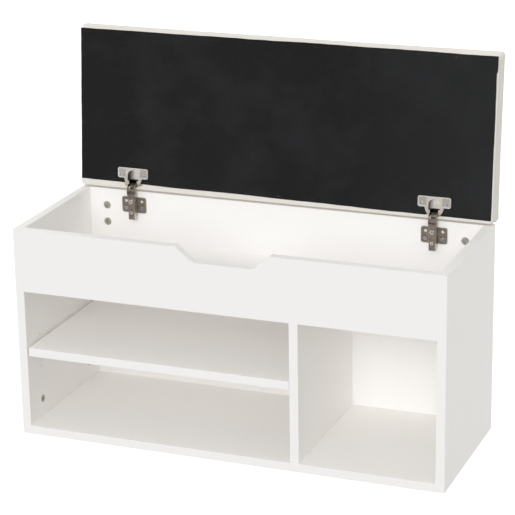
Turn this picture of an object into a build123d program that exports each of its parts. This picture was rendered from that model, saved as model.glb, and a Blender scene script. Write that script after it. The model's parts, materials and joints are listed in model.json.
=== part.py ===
from build123d import *
import os
from math import cos, radians, sin

os.makedirs("parts", exist_ok=True)

# Entryway bench with a storage bin under a padded lid, in millimetres.
# X runs along the bench, -Y is the front, +Z is up. The origin is the middle of the
# carcass's underside. The lid is modelled open, leaning back on its hinges' stop.

# Driving dimensions of the carcass
WIDTH = 800.0
DEPTH = 300.0
HEIGHT = 391.0
BOARD = 16.0
BIN_DEPTH = 100.0
DIVIDER_CENTRE = 129.0
SHELF_UNDERSIDE = 152.0
NOTCH_TOP_HALF = 87.0
NOTCH_BOTTOM_HALF = 56.0
NOTCH_DROP = 26.0
NOTCH_RADIUS = 7.0

# Thin lower back panel, held in grooves
HARDBOARD = 3.0
HARDBOARD_FRONT = 140.0
GROOVE_DEPTH = 5.0
GROOVE_PLAY = 0.2

# Knock-down fittings
CAM_RADIUS = 7.4
CAM_DEPTH = 12.3
CAM_SETBACK = 34.0
FITTING_PLAY = 0.1
CAM_CROSS = 9.0
CAM_CROSS_SLOT = 2.2
CAM_CROSS_DEPTH = 2.0
BOLT_RADIUS = 3.4
BOLT_NECK_RADIUS = 1.8
BOLT_HEAD_RADIUS = 3.0
BOLT_HEAD = 3.0
BOLT_SHANK = 24.0
THREAD_RADIUS = 2.9
THREAD_LENGTH = 11.0
DOWEL_RADIUS = 3.95
DOWEL_IN_EDGE = 20.0
DOWEL_IN_FACE = 9.5
FITTING_ROW = 98.0
DOWEL_ROW = 60.0
BIN_CAM_HEIGHTS = (326.0, 358.5)

# Shelf-pin holes and shelf supports
PIN_RADIUS = 2.45
PIN_HOLE_RADIUS = 2.5
PIN_HOLE_DEPTH = 10.0
PIN_HOLE_HEIGHTS = (113.5, 145.6, 177.7)
SUPPORT_SHEET = 1.5
SUPPORT_WIDTH = 10.0
SUPPORT_REACH = 10.0
SHELF_LEFT_GAP = 3.5
SHELF_RIGHT_GAP = 0.7
SHELF_BACK_GAP = 1.0

# Lid
LID_LENGTH = 800.0
LID_DEPTH = 299.0
LID_GAP = 2.0
LEAN = radians(4.6)
OPEN_CORNER = (130.0, 395.4)
COVER_TOP = 34.0
COVER_CROWN = 8.0
COVER_SKIN = 1.2
COVER_UNDERSIDE = 0.5
COVER_CORNER = 12.0
COVER_TOP_RADIUS = 9.0
COVER_LOWER_RADIUS = 2.0
COVER_WRAP = 42.0
BOARD_UNDERSIDE = 1.8
LID_BOARD = 16.0
DUST_COVER = 0.4
DUST_COVER_INSET = 3.0
DUST_COVER_REAR_INSET = 9.0
DUST_COVER_CORNER = 6.0
STAPLE_CROWN = 10.0
STAPLE_WIRE = 0.7
STAPLE_LEG = 6.0
STAPLE_INSET = 5.0
STAPLE_PITCH = 64.0
STAPLES_LONG = 13
STAPLES_SHORT = 4

# Concealed cup hinges: distances s from the lid's rear edge, depths n into the lid
HINGE_CENTRES = (-293.0, 293.0)
CUP_CENTRE = 21.3
CUP_RADIUS = 17.4
CUP_HOLE_RADIUS = 17.5
CUP_DEPTH = 13.2
CUP_FLOOR = 0.8
FLANGE = 1.2
FLANGE_HALF = 30.5
FLANGE_SPAN = (21.0, 40.5)
FLANGE_CORNER = 3.5
FLANGE_SCREW_HALF = 24.0
FLANGE_SCREW_ROW = 27.3
SLOT_HALF = 8.0
SLOT_LIP_WIDTH = 17.2
SLOT_REAR = 5.6
MOUTH_HALF = 11.25
MOUTH_SPAN = (16.0, 36.3)
OUTER_CUP_PIVOT = (8.5, 3.7)
INNER_CUP_PIVOT = (8.7, 9.0)
CUP_PIN_RADIUS = 1.2
CUP_PIN_END = 10.5
RUNNING_PLAY = 0.05

# Hinge arm and mounting plate on the bin's back panel
BACK_FACE = DEPTH / 2 - BOARD
ARM_HALF = 6.2
ARM_WALL = 1.2
ARM_WEB = 1.5
ARM_FRONT = 119.5
ARM_REAR = 131.8
ARM_SPAN = (339.0, 387.0)
ARM_PIN_RADIUS = 1.4
OUTER_ARM_PIVOT_Y = 122.7
INNER_ARM_PIVOT = (129.2, 383.8)
PLATE = 1.8
PLATE_HALF = 24.5
PLATE_SPAN = (349.3, 379.5)
PLATE_CORNER = 4.0
RAIL_HALF = 4.6
RAIL_FRONT = 125.0
RAIL_SPAN = (341.0, 380.4)
WING_SCREW_HALF = 16.0
WING_SCREW_HEIGHT = 358.0
WING_HOLE_HEIGHT = 371.5
WING_HOLE_RADIUS = 2.7
WOOD_SCREW_RADIUS = 1.7
WOOD_SCREW_LENGTH = 12.0
PAN_HEAD_RADIUS = 3.4
PAN_HEAD = 1.4
SCREW_CROSS = 3.6
SCREW_CROSS_SLOT = 0.9
SCREW_CROSS_DEPTH = 0.9
ARM_SCREW_HEIGHTS = (374.0, 353.0)
ARM_SCREW_HEADS = (4.4, 3.5)
ARM_SCREW_HEAD = 1.6
ARM_SCREW_RADIUS = 2.0
ARM_SCREW_DEPTH = 6.0

# Hinge links: sheet flanges outside the arm, and a bent strip inside it
EAR_INNER = 6.4
EAR_OUTER = 7.6
EAR_WIDTH = 4.8
EAR_EYE = 2.8
EAR_BENDS = ((119.5, 392.0), (122.5, 404.2))
EAR_BEND_RADIUS = 5.0
WEB_ROUTE = ((118.9, 388.4), (117.7, 391.9), (119.2, 398.4))
WEB_SHEET = 1.2
STRIP_HALF = 4.6
STRIP_SHEET = 2.4
STRIP_EYE = 2.5
STRIP_BENDS = ((127.2, 392.5), (127.6, 403.3))
STRIP_BEND_RADIUS = 4.0
STRIP_END = (140.0, 404.1)
OPEN_PIVOT_RADIUS = 2.6

SIDE_INNER = WIDTH / 2 - BOARD
BIN_FLOOR_TOP = HEIGHT - BIN_DEPTH
BIN_FLOOR_UNDERSIDE = BIN_FLOOR_TOP - BOARD
DIVIDER_LEFT = DIVIDER_CENTRE - BOARD / 2
FRONT = -DEPTH / 2
FROM_BASE = (Align.CENTER, Align.CENTER, Align.MIN)
INTO_WALL = (0, 1, 0)
ALONG = (1, 0, 0)


def save(part, name):
    part.label = name
    export_step(part, f"parts/{name}.step")


def along(point, direction, distance):
    """The point a distance away from another in a direction."""
    return tuple(p + d * distance for p, d in zip(point, direction))


def opposite(direction):
    return tuple(-d for d in direction)


def bore(points, direction, radius, depth):
    """Cuts a round blind hole from each point, inside the part being built."""
    for point in points:
        with Locations(Plane(origin=point, z_dir=direction)):
            Cylinder(radius, depth, align=FROM_BASE, mode=Mode.SUBTRACT)


def rod(point, direction, radius, length):
    """Adds a round bar that starts at the point, inside the part being built."""
    with Locations(Plane(origin=point, z_dir=direction)):
        Cylinder(radius, length, align=FROM_BASE)


def slab(low, high, mode=Mode.ADD):
    """Adds or cuts a rectangular block between two corners."""
    centre = [(a + b) / 2 for a, b in zip(low, high)]
    with Locations(Location(centre)):
        Box(*[b - a for a, b in zip(low, high)], mode=mode)


class BoardJoint:
    """Where a board's edge meets another board's face.

    bolts and dowels are points on the joint plane, in the middle of the edge. into is the
    direction into the edge, and face the normal of the face that the cams are let into.
    """

    def __init__(self, bolts, dowels, into, face):
        self.bolts = bolts
        self.dowels = dowels
        self.into = into
        self.face = face

    def cut_edge(self):
        """Cam pockets, bolt bores and dowel holes in the board that ends here."""
        for bolt in self.bolts:
            pocket = along(along(bolt, self.into, CAM_SETBACK), self.face, BOARD / 2)
            bore([pocket], opposite(self.face), CAM_RADIUS + FITTING_PLAY, CAM_DEPTH + FITTING_PLAY)
        bore(self.bolts, self.into, BOLT_RADIUS + FITTING_PLAY, CAM_SETBACK)
        bore(self.dowels, self.into, DOWEL_RADIUS + RUNNING_PLAY, DOWEL_IN_EDGE + FITTING_PLAY)

    def cut_face(self):
        """Thread holes and dowel holes in the board that the edge meets."""
        out = opposite(self.into)
        bore(self.bolts, out, THREAD_RADIUS + RUNNING_PLAY, THREAD_LENGTH + FITTING_PLAY)
        bore(self.dowels, out, DOWEL_RADIUS + RUNNING_PLAY, DOWEL_IN_FACE + FITTING_PLAY)

    def add_cams(self):
        """Cam locks with a cross recess and a throat for the bolt."""
        for bolt in self.bolts:
            centre = along(bolt, self.into, CAM_SETBACK)
            top = along(centre, self.face, BOARD / 2)
            rod(top, opposite(self.face), CAM_RADIUS, CAM_DEPTH)
            with Locations(Plane(origin=top, x_dir=self.into, z_dir=self.face)):
                Box(CAM_CROSS, CAM_CROSS_SLOT, 2 * CAM_CROSS_DEPTH, mode=Mode.SUBTRACT)
                Box(CAM_CROSS_SLOT, CAM_CROSS, 2 * CAM_CROSS_DEPTH, mode=Mode.SUBTRACT)
            rim = along(centre, self.into, -CAM_RADIUS - FITTING_PLAY)
            bore([rim], self.into, BOLT_RADIUS + 2 * FITTING_PLAY, CAM_RADIUS + 2 * FITTING_PLAY)

    def add_bolts(self):
        """Cam bolts: thread, shank, neck and head."""
        for bolt in self.bolts:
            neck_start = along(bolt, self.into, BOLT_SHANK)
            head_start = along(bolt, self.into, CAM_SETBACK - BOLT_HEAD)
            neck = CAM_SETBACK - BOLT_HEAD - BOLT_SHANK
            rod(bolt, opposite(self.into), THREAD_RADIUS, THREAD_LENGTH)
            rod(bolt, self.into, BOLT_RADIUS, BOLT_SHANK)
            rod(neck_start, self.into, BOLT_NECK_RADIUS, neck)
            rod(head_start, self.into, BOLT_HEAD_RADIUS, BOLT_HEAD)

    def add_dowels(self):
        """Round wooden dowels across the joint."""
        for dowel in self.dowels:
            start = along(dowel, self.into, -DOWEL_IN_FACE)
            rod(start, self.into, DOWEL_RADIUS, DOWEL_IN_FACE + DOWEL_IN_EDGE)


def depth_rows(x, z, offset):
    return [(x, -offset, z), (x, offset, z)]


SIDE_MIDDLE = (WIDTH - BOARD) / 2
FLOOR_MIDDLE = BIN_FLOOR_UNDERSIDE + BOARD / 2
WALL_MIDDLE = DEPTH / 2 - BOARD / 2

side_joints = {
    side: BoardJoint(
        depth_rows(side * SIDE_MIDDLE, BOARD, FITTING_ROW),
        depth_rows(side * SIDE_MIDDLE, BOARD, DOWEL_ROW),
        into=(0, 0, 1),
        face=(-side, 0, 0),
    )
    for side in (-1, 1)
}
floor_joints = {
    side: BoardJoint(
        depth_rows(side * SIDE_INNER, FLOOR_MIDDLE, FITTING_ROW),
        depth_rows(side * SIDE_INNER, FLOOR_MIDDLE, DOWEL_ROW),
        into=(-side, 0, 0),
        face=(0, 0, -1),
    )
    for side in (-1, 1)
}
divider_foot = BoardJoint(
    depth_rows(DIVIDER_CENTRE, BOARD, FITTING_ROW),
    depth_rows(DIVIDER_CENTRE, BOARD, DOWEL_ROW),
    into=(0, 0, 1),
    face=(-1, 0, 0),
)
divider_head = BoardJoint(
    depth_rows(DIVIDER_CENTRE, BIN_FLOOR_UNDERSIDE, FITTING_ROW),
    depth_rows(DIVIDER_CENTRE, BIN_FLOOR_UNDERSIDE, DOWEL_ROW),
    into=(0, 0, -1),
    face=(-1, 0, 0),
)


def wall_joint(side, y):
    """Joint of a bin wall's end with a side panel. Its cams face the inside of the bin."""
    return BoardJoint(
        [(side * SIDE_INNER, y, z) for z in BIN_CAM_HEIGHTS],
        [],
        into=(-side, 0, 0),
        face=(0, -1 if y > 0 else 1, 0),
    )


back_wall_joints = {side: wall_joint(side, WALL_MIDDLE) for side in (-1, 1)}
front_wall_joints = {side: wall_joint(side, -WALL_MIDDLE) for side in (-1, 1)}

# Carcass boards

with BuildPart() as bottom_panel:
    slab((-WIDTH / 2, FRONT, 0), (WIDTH / 2, -FRONT, BOARD))
    slab(
        (-SIDE_INNER - GROOVE_DEPTH, HARDBOARD_FRONT, BOARD - GROOVE_DEPTH),
        (SIDE_INNER + GROOVE_DEPTH, HARDBOARD_FRONT + HARDBOARD + GROOVE_PLAY, BOARD),
        Mode.SUBTRACT,
    )
    for joint in (*side_joints.values(), divider_foot):
        joint.cut_face()
save(bottom_panel.part, "bottom_panel")

for side, name in ((-1, "left_side_panel"), (1, "right_side_panel")):
    inner = side * SIDE_INNER
    outer = side * WIDTH / 2
    groove = side * (SIDE_INNER + GROOVE_DEPTH)
    with BuildPart() as side_panel:
        slab((min(inner, outer), FRONT, BOARD), (max(inner, outer), -FRONT, HEIGHT))
        slab(
            (min(inner, groove), HARDBOARD_FRONT, BOARD),
            (
                max(inner, groove),
                HARDBOARD_FRONT + HARDBOARD + GROOVE_PLAY,
                BIN_FLOOR_UNDERSIDE + GROOVE_DEPTH,
            ),
            Mode.SUBTRACT,
        )
        side_joints[side].cut_edge()
        floor_joints[side].cut_face()
        back_wall_joints[side].cut_face()
        front_wall_joints[side].cut_face()
        if side < 0:
            for height in PIN_HOLE_HEIGHTS:
                bore(
                    depth_rows(inner, height, FITTING_ROW),
                    (-1, 0, 0),
                    PIN_HOLE_RADIUS,
                    PIN_HOLE_DEPTH,
                )
    save(side_panel.part, name)

with BuildPart() as divider_panel:
    slab(
        (DIVIDER_LEFT, FRONT, BOARD),
        (DIVIDER_LEFT + BOARD, HARDBOARD_FRONT, BIN_FLOOR_UNDERSIDE),
    )
    divider_foot.cut_edge()
    divider_head.cut_edge()
    for height in PIN_HOLE_HEIGHTS:
        bore(
            depth_rows(DIVIDER_LEFT, height, FITTING_ROW),
            (1, 0, 0),
            PIN_HOLE_RADIUS,
            PIN_HOLE_DEPTH,
        )
save(divider_panel.part, "divider_panel")

with BuildPart() as bin_floor:
    slab((-SIDE_INNER, FRONT, BIN_FLOOR_UNDERSIDE), (SIDE_INNER, -FRONT, BIN_FLOOR_TOP))
    slab(
        (-SIDE_INNER, HARDBOARD_FRONT, BIN_FLOOR_UNDERSIDE),
        (
            SIDE_INNER,
            HARDBOARD_FRONT + HARDBOARD + GROOVE_PLAY,
            BIN_FLOOR_UNDERSIDE + GROOVE_DEPTH,
        ),
        Mode.SUBTRACT,
    )
    for joint in floor_joints.values():
        joint.cut_edge()
    divider_head.cut_face()
save(bin_floor.part, "bin_floor")

with BuildPart() as bin_front_panel:
    with BuildSketch(Plane.XZ.offset(-FRONT)):
        with BuildLine():
            Polyline(
                (-SIDE_INNER, HEIGHT),
                (-SIDE_INNER, BIN_FLOOR_TOP),
                (SIDE_INNER, BIN_FLOOR_TOP),
                (SIDE_INNER, HEIGHT),
            )
            FilletPolyline(
                (SIDE_INNER, HEIGHT),
                (NOTCH_TOP_HALF, HEIGHT),
                (NOTCH_BOTTOM_HALF, HEIGHT - NOTCH_DROP),
                (-NOTCH_BOTTOM_HALF, HEIGHT - NOTCH_DROP),
                (-NOTCH_TOP_HALF, HEIGHT),
                (-SIDE_INNER, HEIGHT),
                radius=NOTCH_RADIUS,
            )
        make_face()
    extrude(amount=-BOARD)
    for joint in front_wall_joints.values():
        joint.cut_edge()
save(bin_front_panel.part, "bin_front_panel")

with BuildPart() as bin_back_panel:
    slab((-SIDE_INNER, BACK_FACE, BIN_FLOOR_TOP), (SIDE_INNER, -FRONT, HEIGHT))
    for joint in back_wall_joints.values():
        joint.cut_edge()
    for centre in HINGE_CENTRES:
        for wing in (-WING_SCREW_HALF, WING_SCREW_HALF):
            bore(
                [(centre + wing, BACK_FACE, WING_SCREW_HEIGHT)],
                (0, 1, 0),
                WOOD_SCREW_RADIUS + RUNNING_PLAY,
                WOOD_SCREW_LENGTH + FITTING_PLAY,
            )
save(bin_back_panel.part, "bin_back_panel")

with BuildPart() as lower_back_panel:
    slab(
        (-SIDE_INNER - GROOVE_DEPTH + GROOVE_PLAY, HARDBOARD_FRONT, BOARD - GROOVE_DEPTH),
        (
            SIDE_INNER + GROOVE_DEPTH - GROOVE_PLAY,
            HARDBOARD_FRONT + HARDBOARD,
            BIN_FLOOR_UNDERSIDE + GROOVE_DEPTH - GROOVE_PLAY,
        ),
    )
save(lower_back_panel.part, "lower_back_panel")

with BuildPart() as shelf:
    slab(
        (-SIDE_INNER + SHELF_LEFT_GAP, FRONT, SHELF_UNDERSIDE),
        (DIVIDER_LEFT - SHELF_RIGHT_GAP, HARDBOARD_FRONT - SHELF_BACK_GAP, SHELF_UNDERSIDE + BOARD),
    )
save(shelf.part, "shelf")

# Shelf supports: a pin in the hole, an upright leaf and a flange under the shelf

with BuildPart() as shelf_supports:
    for wall, inward in ((-SIDE_INNER, 1), (DIVIDER_LEFT, -1)):
        leaf = wall + inward * SUPPORT_SHEET
        reach = wall + inward * SUPPORT_REACH
        for y in (-FITTING_ROW, FITTING_ROW):
            near, far = y - SUPPORT_WIDTH / 2, y + SUPPORT_WIDTH / 2
            slab(
                (min(wall, leaf), near, PIN_HOLE_HEIGHTS[1] - SUPPORT_WIDTH / 2),
                (max(wall, leaf), far, SHELF_UNDERSIDE),
            )
            slab(
                (min(wall, reach), near, SHELF_UNDERSIDE - SUPPORT_SHEET),
                (max(wall, reach), far, SHELF_UNDERSIDE),
            )
            rod(
                (wall, y, PIN_HOLE_HEIGHTS[1]),
                (-inward, 0, 0),
                PIN_RADIUS,
                PIN_HOLE_DEPTH - FITTING_PLAY,
            )
save(shelf_supports.part, "shelf_supports")

# Knock-down fittings, one node for each group of identical pieces

fitting_groups = {
    "side_panel": list(side_joints.values()),
    "bin_floor": list(floor_joints.values()),
    "divider": [divider_foot, divider_head],
    "bin_back": list(back_wall_joints.values()),
    "bin_front": list(front_wall_joints.values()),
}
for place, joints in fitting_groups.items():
    with BuildPart() as cam_locks:
        for joint in joints:
            joint.add_cams()
    save(cam_locks.part, f"{place}_cam_locks")
    with BuildPart() as cam_bolts:
        for joint in joints:
            joint.add_bolts()
    save(cam_bolts.part, f"{place}_cam_bolts")
    if joints[0].dowels:
        with BuildPart() as dowels:
            for joint in joints:
                joint.add_dowels()
        save(dowels.part, f"{place}_dowels")

# The open lid's own plane: x along the bench, y is s, the distance up from the lid's rear
# edge, and z points out of the underside, so a depth n into the lid is at z = -n.
LID = Plane(
    origin=(0, *OPEN_CORNER),
    x_dir=(1, 0, 0),
    z_dir=(0, -cos(LEAN), sin(LEAN)),
)


def lid_point(x, s, n):
    """A point of the open lid, in the bench's own frame."""
    return tuple(LID.from_local_coords(Vector(x, s, -n)))


def open_place(s, n):
    """The y and z of a point of the lid, with the lid open."""
    return lid_point(0, s, n)[1:]


def closed_place(s, n):
    """The y and z of a point of the lid, with the lid closed."""
    return (DEPTH / 2 - s, HEIGHT + LID_GAP + n)


def equidistant(first, second, y):
    """The point at this y that is equally far from two places."""
    middle = [(a + b) / 2 for a, b in zip(first, second)]
    run, rise = second[0] - first[0], second[1] - first[1]
    return (y, middle[1] - (y - middle[0]) * run / rise)


# The outer link is as long with the lid open as with it closed.
OUTER_ARM_PIVOT = equidistant(
    open_place(*OUTER_CUP_PIVOT), closed_place(*OUTER_CUP_PIVOT), OUTER_ARM_PIVOT_Y
)
INTO_LID = (0, cos(LEAN), -sin(LEAN))


# Section plane of the lid: x is s, y points out of the underside, z runs along the bench.
LID_SECTION = Plane(origin=LID.origin, x_dir=LID.y_dir, z_dir=LID.x_dir)
LID_THICKNESS_AXIS = Axis(LID.origin, INTO_LID)
LID_BOARD_TOP = BOARD_UNDERSIDE + LID_BOARD


def lid_form(inset):
    """The padded lid's rounded outer form, drawn in on all sides by an inset."""
    low = COVER_UNDERSIDE + inset
    high = COVER_TOP - inset
    back = inset
    front = LID_DEPTH - inset
    with BuildPart() as form:
        with BuildSketch(LID_SECTION.offset(inset - LID_LENGTH / 2)):
            with BuildLine():
                Polyline((front, -high), (front, -low), (back, -low), (back, -high))
                ThreePointArc(
                    (back, -high),
                    (LID_DEPTH / 2, -high - COVER_CROWN),
                    (front, -high),
                )
            make_face()
        extrude(amount=LID_LENGTH - 2 * inset)
        fillet(form.edges().filter_by(LID_THICKNESS_AXIS), COVER_CORNER - inset)
        fillet(form.faces().sort_by(LID_THICKNESS_AXIS)[-1].edges(), COVER_TOP_RADIUS - inset)
        underside = form.faces().sort_by(LID_THICKNESS_AXIS)[0]
        fillet(underside.edges(), COVER_LOWER_RADIUS - inset)
    return form.part


def lid_holes(radius, start, end, x_offsets, s):
    """Cuts round holes into the lid beside both hinge centres, from depth to depth."""
    points = [
        lid_point(centre + offset, s, start) for centre in HINGE_CENTRES for offset in x_offsets
    ]
    bore(points, INTO_LID, radius, end - start)


def cut_cup_and_screw_holes(cup_depth, screw_depth):
    """Cup pockets and flange-screw holes, cut from just below the lid's underside."""
    lid_holes(CUP_HOLE_RADIUS, -FITTING_PLAY, cup_depth, (0,), CUP_CENTRE)
    lid_holes(
        WOOD_SCREW_RADIUS + RUNNING_PLAY,
        -FITTING_PLAY,
        screw_depth,
        (-FLANGE_SCREW_HALF, FLANGE_SCREW_HALF),
        FLANGE_SCREW_ROW,
    )


# Padded lid: board, foam, upholstery cover, dust cover and its staples

padded_core = lid_form(COVER_SKIN + FITTING_PLAY)

with BuildPart() as lid_board:
    add(padded_core)
    split(bisect_by=LID.offset(-LID_BOARD_TOP), keep=Keep.TOP)
    cut_cup_and_screw_holes(CUP_DEPTH + FITTING_PLAY, WOOD_SCREW_LENGTH + FITTING_PLAY)
save(lid_board.part, "lid_board")

with BuildPart() as lid_foam:
    add(padded_core)
    split(bisect_by=LID.offset(-LID_BOARD_TOP), keep=Keep.BOTTOM)
save(lid_foam.part, "lid_foam")

with BuildPart() as lid_cover:
    add(lid_form(0))
    add(lid_form(COVER_SKIN), mode=Mode.SUBTRACT)
    with BuildSketch(LID):
        with Locations((0, LID_DEPTH / 2)):
            Rectangle(LID_LENGTH - 2 * COVER_WRAP, LID_DEPTH - 2 * COVER_WRAP)
    extrude(amount=-LID_BOARD, mode=Mode.SUBTRACT)
    cut_cup_and_screw_holes(LID_BOARD, LID_BOARD)
save(lid_cover.part, "lid_cover")

DUST_COVER_WIDTH = LID_LENGTH - 2 * DUST_COVER_INSET
DUST_COVER_REACH = LID_DEPTH - DUST_COVER_INSET - DUST_COVER_REAR_INSET
DUST_COVER_MIDDLE = DUST_COVER_REAR_INSET + DUST_COVER_REACH / 2

with BuildPart() as lid_dust_cover:
    with BuildSketch(LID):
        with Locations((0, DUST_COVER_MIDDLE)):
            RectangleRounded(DUST_COVER_WIDTH, DUST_COVER_REACH, DUST_COVER_CORNER)
    extrude(amount=-DUST_COVER)
    cut_cup_and_screw_holes(LID_BOARD, LID_BOARD)
save(lid_dust_cover.part, "lid_dust_cover")


def add_staple(x, s, sideways):
    """One wire staple on the dust cover: a crown and two legs driven into the board."""
    crown = (STAPLE_WIRE, STAPLE_CROWN) if sideways else (STAPLE_CROWN, STAPLE_WIRE)
    reach = (STAPLE_CROWN - STAPLE_WIRE) / 2
    with Locations(Plane(origin=lid_point(x, s, 0), x_dir=LID.x_dir, z_dir=LID.z_dir)):
        Box(*crown, STAPLE_WIRE, align=FROM_BASE)
        legs = [(0, -reach), (0, reach)] if sideways else [(-reach, 0), (reach, 0)]
        with Locations(*legs):
            Box(
                STAPLE_WIRE,
                STAPLE_WIRE,
                STAPLE_LEG,
                align=(Align.CENTER, Align.CENTER, Align.MAX),
            )


staple_end_x = DUST_COVER_WIDTH / 2 - STAPLE_INSET
staple_rear_s = DUST_COVER_REAR_INSET + STAPLE_INSET
staple_front_s = LID_DEPTH - DUST_COVER_INSET - STAPLE_INSET
long_row = [(i - (STAPLES_LONG - 1) / 2) * STAPLE_PITCH for i in range(STAPLES_LONG)]
short_row = [(i - (STAPLES_SHORT - 1) / 2) * STAPLE_PITCH for i in range(STAPLES_SHORT)]

with BuildPart() as dust_cover_staples:
    for x in long_row:
        add_staple(x, staple_front_s, sideways=False)
        if all(abs(x - centre) > FLANGE_HALF + STAPLE_CROWN for centre in HINGE_CENTRES):
            add_staple(x, staple_rear_s, sideways=False)
    for offset in short_row:
        add_staple(-staple_end_x, DUST_COVER_MIDDLE + offset, sideways=True)
        add_staple(staple_end_x, DUST_COVER_MIDDLE + offset, sideways=True)
save(dust_cover_staples.part, "dust_cover_staples")


def cross_recess(plane):
    """Cuts a cross recess into a screw head, centred on a plane at the head's face."""
    with Locations(plane):
        Box(SCREW_CROSS, SCREW_CROSS_SLOT, 2 * SCREW_CROSS_DEPTH, mode=Mode.SUBTRACT)
        Box(SCREW_CROSS_SLOT, SCREW_CROSS, 2 * SCREW_CROSS_DEPTH, mode=Mode.SUBTRACT)


def add_screw(seat, direction, head_radius, head, radius, length):
    """A pan-head screw whose head stands on the seat point, driven in a direction."""
    top = along(seat, direction, -head)
    rod(top, direction, head_radius, head)
    rod(seat, direction, radius, length)
    cross_recess(Plane(origin=top, x_dir=(1, 0, 0), z_dir=opposite(direction)))


# Concealed hinges, one set of nodes for each side

for side, centre in zip(("left", "right"), HINGE_CENTRES):
    with BuildPart() as hinge_plate:
        with BuildSketch(Plane.XZ.offset(-BACK_FACE)):
            with Locations((centre, sum(PLATE_SPAN) / 2)):
                RectangleRounded(2 * PLATE_HALF, PLATE_SPAN[1] - PLATE_SPAN[0], PLATE_CORNER)
            for wing in (-WING_SCREW_HALF, WING_SCREW_HALF):
                with Locations((centre + wing, WING_HOLE_HEIGHT)):
                    Circle(WING_HOLE_RADIUS, mode=Mode.SUBTRACT)
                with Locations((centre + wing, WING_SCREW_HEIGHT)):
                    Circle(WOOD_SCREW_RADIUS + FITTING_PLAY, mode=Mode.SUBTRACT)
        extrude(amount=PLATE)
        slab(
            (centre - RAIL_HALF, RAIL_FRONT, RAIL_SPAN[0]),
            (centre + RAIL_HALF, BACK_FACE, RAIL_SPAN[1]),
        )
        bore(
            [(centre, RAIL_FRONT, height) for height in ARM_SCREW_HEIGHTS],
            INTO_WALL,
            ARM_SCREW_RADIUS + RUNNING_PLAY,
            ARM_SCREW_DEPTH,
        )
    save(hinge_plate.part, f"{side}_hinge_plate")

    with BuildPart() as hinge_plate_screws:
        for wing in (-WING_SCREW_HALF, WING_SCREW_HALF):
            add_screw(
                (centre + wing, BACK_FACE - PLATE, WING_SCREW_HEIGHT),
                INTO_WALL,
                PAN_HEAD_RADIUS,
                PAN_HEAD,
                WOOD_SCREW_RADIUS,
                WOOD_SCREW_LENGTH + PLATE - FITTING_PLAY,
            )
    save(hinge_plate_screws.part, f"{side}_hinge_plate_screws")

    with BuildPart() as hinge_arm:
        slab(
            (centre - ARM_HALF, ARM_FRONT, ARM_SPAN[0]),
            (centre + ARM_HALF, ARM_REAR, ARM_SPAN[1]),
        )
        slab(
            (centre - ARM_HALF + ARM_WALL, ARM_FRONT + ARM_WEB, ARM_SPAN[0]),
            (centre + ARM_HALF - ARM_WALL, ARM_REAR, ARM_SPAN[1]),
            Mode.SUBTRACT,
        )
        bore(
            [(centre, ARM_FRONT, height) for height in ARM_SCREW_HEIGHTS],
            INTO_WALL,
            ARM_SCREW_RADIUS + FITTING_PLAY,
            ARM_WEB,
        )
        for pivot in (OUTER_ARM_PIVOT, INNER_ARM_PIVOT):
            bore(
                [(centre - ARM_HALF, *pivot)],
                ALONG,
                ARM_PIN_RADIUS + RUNNING_PLAY,
                2 * ARM_HALF,
            )
    save(hinge_arm.part, f"{side}_hinge_arm")

    with BuildPart() as hinge_arm_screws:
        for height, head_radius in zip(ARM_SCREW_HEIGHTS, ARM_SCREW_HEADS):
            add_screw(
                (centre, ARM_FRONT, height),
                INTO_WALL,
                head_radius,
                ARM_SCREW_HEAD,
                ARM_SCREW_RADIUS,
                RAIL_FRONT - ARM_FRONT + ARM_SCREW_DEPTH - FITTING_PLAY,
            )
    save(hinge_arm_screws.part, f"{side}_hinge_arm_screws")

    with BuildPart() as hinge_arm_pins:
        rod(
            (centre - EAR_OUTER, *OUTER_ARM_PIVOT), ALONG, ARM_PIN_RADIUS, 2 * EAR_OUTER
        )
        rod((centre - ARM_HALF, *INNER_ARM_PIVOT), ALONG, ARM_PIN_RADIUS, 2 * ARM_HALF)
    save(hinge_arm_pins.part, f"{side}_hinge_arm_pins")

    outer_cup_pivot = open_place(*OUTER_CUP_PIVOT)
    with BuildPart() as outer_link:
        for ear_start in (centre - EAR_OUTER, centre + EAR_INNER):
            with BuildSketch(Plane.YZ.offset(ear_start)):
                with BuildLine():
                    FilletPolyline(
                        OUTER_ARM_PIVOT, *EAR_BENDS, outer_cup_pivot, radius=EAR_BEND_RADIUS
                    )
                trace(line_width=EAR_WIDTH)
                with Locations(OUTER_ARM_PIVOT):
                    Circle(EAR_EYE)
                with Locations(outer_cup_pivot):
                    Circle(EAR_WIDTH / 2)
            extrude(amount=EAR_OUTER - EAR_INNER)
        with BuildSketch(Plane.YZ.offset(centre - EAR_OUTER)):
            with BuildLine():
                FilletPolyline(*WEB_ROUTE, radius=EAR_BEND_RADIUS)
            trace(line_width=WEB_SHEET)
        extrude(amount=2 * EAR_OUTER)
        bore(
            [(centre - EAR_OUTER, *OUTER_ARM_PIVOT)],
            ALONG,
            ARM_PIN_RADIUS + RUNNING_PLAY,
            2 * EAR_OUTER,
        )
        bore(
            [(centre - EAR_OUTER, *outer_cup_pivot)],
            ALONG,
            CUP_PIN_RADIUS + RUNNING_PLAY,
            2 * EAR_OUTER,
        )
    save(outer_link.part, f"{side}_outer_link")

    with BuildPart() as inner_link:
        with BuildSketch(Plane.YZ.offset(centre - STRIP_HALF)):
            with BuildLine():
                FilletPolyline(
                    INNER_ARM_PIVOT, *STRIP_BENDS, STRIP_END, radius=STRIP_BEND_RADIUS
                )
            trace(line_width=STRIP_SHEET)
            with Locations(INNER_ARM_PIVOT):
                Circle(STRIP_EYE)
            with Locations(STRIP_END):
                Circle(OPEN_PIVOT_RADIUS, mode=Mode.SUBTRACT)
        extrude(amount=2 * STRIP_HALF)
        bore(
            [(centre - STRIP_HALF, *INNER_ARM_PIVOT)],
            ALONG,
            ARM_PIN_RADIUS + RUNNING_PLAY,
            2 * STRIP_HALF,
        )
    save(inner_link.part, f"{side}_inner_link")

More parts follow.
